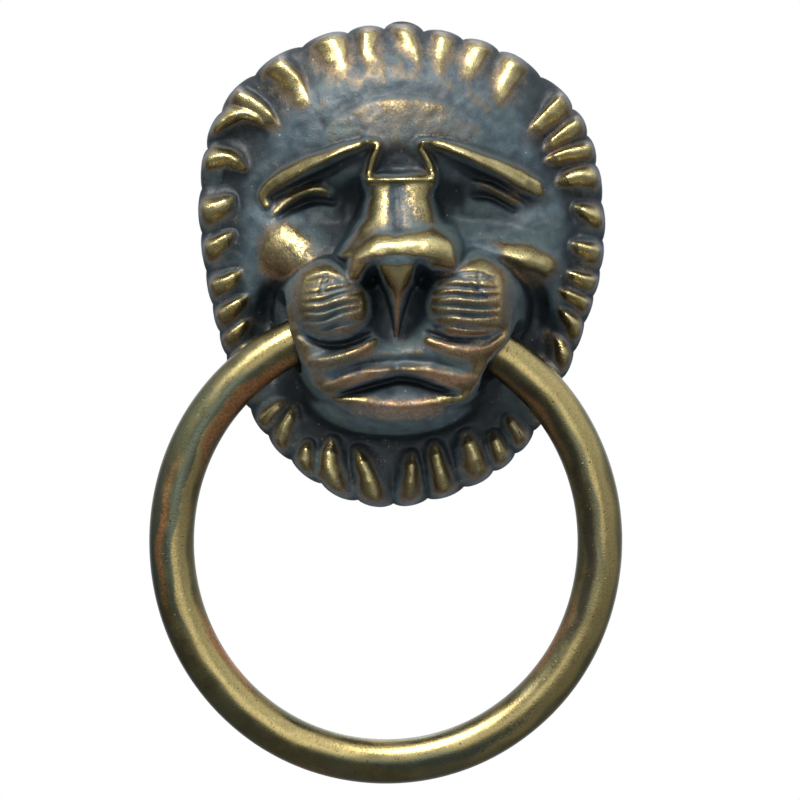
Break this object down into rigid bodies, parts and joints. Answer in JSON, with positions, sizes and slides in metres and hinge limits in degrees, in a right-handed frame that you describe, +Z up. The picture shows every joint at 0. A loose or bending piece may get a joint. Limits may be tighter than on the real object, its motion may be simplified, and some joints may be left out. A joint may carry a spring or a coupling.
{
  "type": "door knocker",
  "caption": "Cast animal-head ring knocker: hollow head screwed through the door, with a round-rod ring that hangs in it and swings.",
  "frame": {"origin": "on the door's face, behind the middle of the head, halfway between the two fixing studs", "axes": "+X to the viewer's right, +Y into the door, +Z up; the face looks along -Y"},
  "size_m": [0.063, 0.0689, 0.1017],
  "materials": {
    "head_brass": "old cast brass, dark in the hollows and rubbed bright on the ridges",
    "ring_brass": "aged drawn brass rod, worn semi-bright",
    "stud_steel": "zinc-plated steel"
  },
  "bodies": {
    "head": {"lion_head": "head_brass", "upper_stud": "stud_steel", "lower_stud": "stud_steel", "upper_washer": "stud_steel", "lower_washer": "stud_steel", "upper_nut": "stud_steel", "lower_nut": "stud_steel"},
    "ring": {"ring": "ring_brass"}
  },
  "joints": [
    {"name": "ring_swing", "type": "hinge", "parent": "head", "child": "ring", "pos_m": [0, -0.0102, -0.01135], "axis": [-0.9956, 0, 0.0936], "range_deg": [-6.5, 162]}
  ]
}
